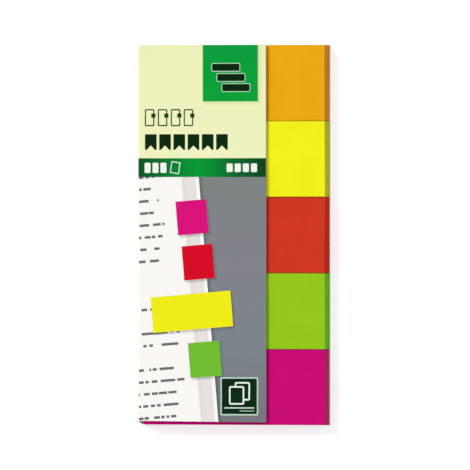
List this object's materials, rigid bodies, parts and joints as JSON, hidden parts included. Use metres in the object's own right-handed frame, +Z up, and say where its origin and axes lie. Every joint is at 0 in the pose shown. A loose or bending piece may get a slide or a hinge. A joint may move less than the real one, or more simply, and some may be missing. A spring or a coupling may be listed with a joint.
{
  "type": "page marker pack",
  "caption": "Neon paper page markers in pads side by side on the back panel of a folded card, with a front flap over their glued ends and their free ends in view.",
  "frame": {"origin": "middle of the pack's footprint, on the underside of the back panel that it lies on", "axes": "+X from the card's spine to the free ends of the markers, +Y along the row of pads from the magenta one to the orange one, +Z up out of the printed flap"},
  "size_m": [0.0518, 0.101, 0.0058],
  "materials": {
    "card": "satin",
    "paper_orange": "matte",
    "paper_yellow": "matte",
    "paper_red": "matte",
    "paper_green": "matte",
    "paper_magenta": "matte"
  },
  "bodies": {
    "root": {"folded_card": "card", "pad_orange": "paper_orange", "pad_yellow": "paper_yellow", "pad_red": "paper_red", "pad_green": "paper_green", "pad_magenta": "paper_magenta"}
  },
  "joints": []
}
